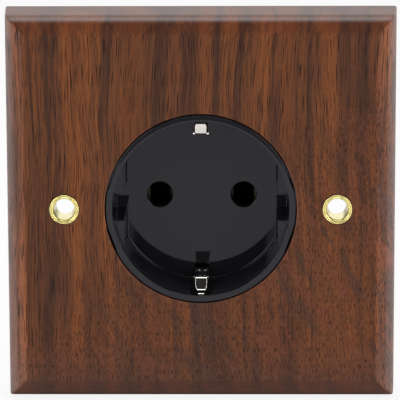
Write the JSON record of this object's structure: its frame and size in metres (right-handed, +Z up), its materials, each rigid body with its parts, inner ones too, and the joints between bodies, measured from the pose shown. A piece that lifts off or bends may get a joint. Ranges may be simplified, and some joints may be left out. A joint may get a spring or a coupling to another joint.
{
  "type": "wall socket",
  "caption": "Square walnut wall plate with a flush round black earthed socket, spring earth clips and brass screw eyelets.",
  "frame": {"origin": "centre of the plate on the wall plane, at the back of the plate's rim", "axes": "+X to the right seen from the room, +Z up, +Y into the wall; the front faces -Y"},
  "size_m": [0.087, 0.043, 0.087],
  "materials": {
    "walnut": "oiled walnut with a soft sheen",
    "black_gloss": "glossy black moulding",
    "black_matte": "matt black moulding",
    "brass": "polished pale brass",
    "spring_metal": "nickel-plated spring strip",
    "screw_steel": "zinc-plated steel"
  },
  "bodies": {
    "root": {"wood_plate": "walnut", "eyelet_left": "brass", "eyelet_right": "brass", "socket_cup": "black_gloss", "contact_base": "black_matte", "earth_strip": "spring_metal", "pin_contact_left": "brass", "pin_contact_right": "brass", "wire_clamp_left": "brass", "wire_clamp_right": "brass", "wire_clamp_earth": "brass", "clamp_screws": "screw_steel", "flange_screws": "screw_steel", "base_screws": "screw_steel"}
  },
  "joints": []
}
